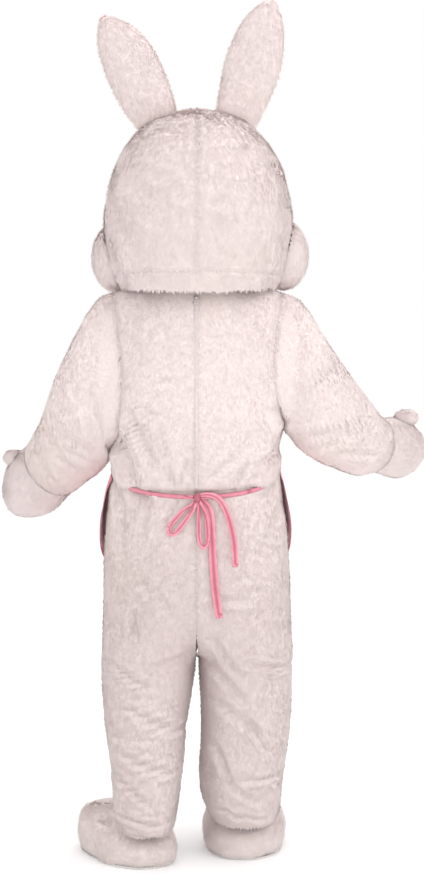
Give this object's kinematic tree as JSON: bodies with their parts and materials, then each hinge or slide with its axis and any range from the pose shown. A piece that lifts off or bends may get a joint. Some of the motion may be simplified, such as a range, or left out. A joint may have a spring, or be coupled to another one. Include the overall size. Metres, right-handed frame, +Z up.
{
  "type": "rabbit mascot costume",
  "caption": "Full plush rabbit mascot costume: head with tall ears, zip-back jumpsuit with mittens, boot covers and a pink half apron tied at the back.",
  "frame": {"origin": "base of the neck between the shoulders, where the wearer's shoulders hold the suit up", "axes": "+Z up, the back faces -Y, +X towards the wearer's right"},
  "size_m": [1.0867, 0.542, 2.0396],
  "materials": {
    "plush": "short pile plush",
    "pink_plush": "short pile plush",
    "pink_cloth": "satin weave",
    "nose": "smooth felt",
    "sole": "matte",
    "eye": "gloss",
    "zip_tape": "woven",
    "zip_metal": "satin"
  },
  "bodies": {
    "root": {"apron_binding": "pink_cloth", "apron_panel": "pink_cloth", "apron_tie_left": "pink_cloth", "apron_tie_right": "pink_cloth", "apron_waistband": "pink_cloth", "bodice_back_left": "plush", "bodice_back_right": "plush", "bodice_front_left": "plush", "bodice_front_right": "plush", "boot_left_sole": "sole", "boot_left_upper": "plush", "boot_right_sole": "sole", "boot_right_upper": "plush", "bow_knot": "pink_cloth", "bow_loop_left": "pink_cloth", "bow_loop_right": "pink_cloth", "bow_tail_long": "pink_cloth", "bow_tail_short": "pink_cloth", "cheek_left": "plush", "cheek_right": "plush", "ear_left_back": "plush", "ear_left_front": "pink_plush", "ear_right_back": "plush", "ear_right_front": "pink_plush", "eye_left": "eye", "eye_right": "eye", "head_back_left": "plush", "head_back_right": "plush", "head_front": "plush", "head_hem": "plush", "mitten_left_back": "plush", "mitten_left_palm": "plush", "mitten_left_thumb": "plush", "mitten_right_back": "plush", "mitten_right_palm": "plush", "mitten_right_thumb": "plush", "muzzle": "plush", "nose": "nose", "sleeve_left_back": "plush", "sleeve_left_front": "plush", "sleeve_right_back": "plush", "sleeve_right_front": "plush", "trousers_back_left": "plush", "trousers_back_right": "plush", "trousers_front_left": "plush", "trousers_front_right": "plush", "zip_chain": "zip_tape", "zip_slider": "zip_metal"},
    "pull_tab": {"zip_pull_tab": "zip_metal"}
  },
  "joints": [
    {"name": "tab_hinge", "type": "hinge", "parent": "root", "child": "pull_tab", "pos_m": [0, -0.14619, 0.00145], "axis": [-1, 0, 0], "range_deg": [0, 150]}
  ]
}
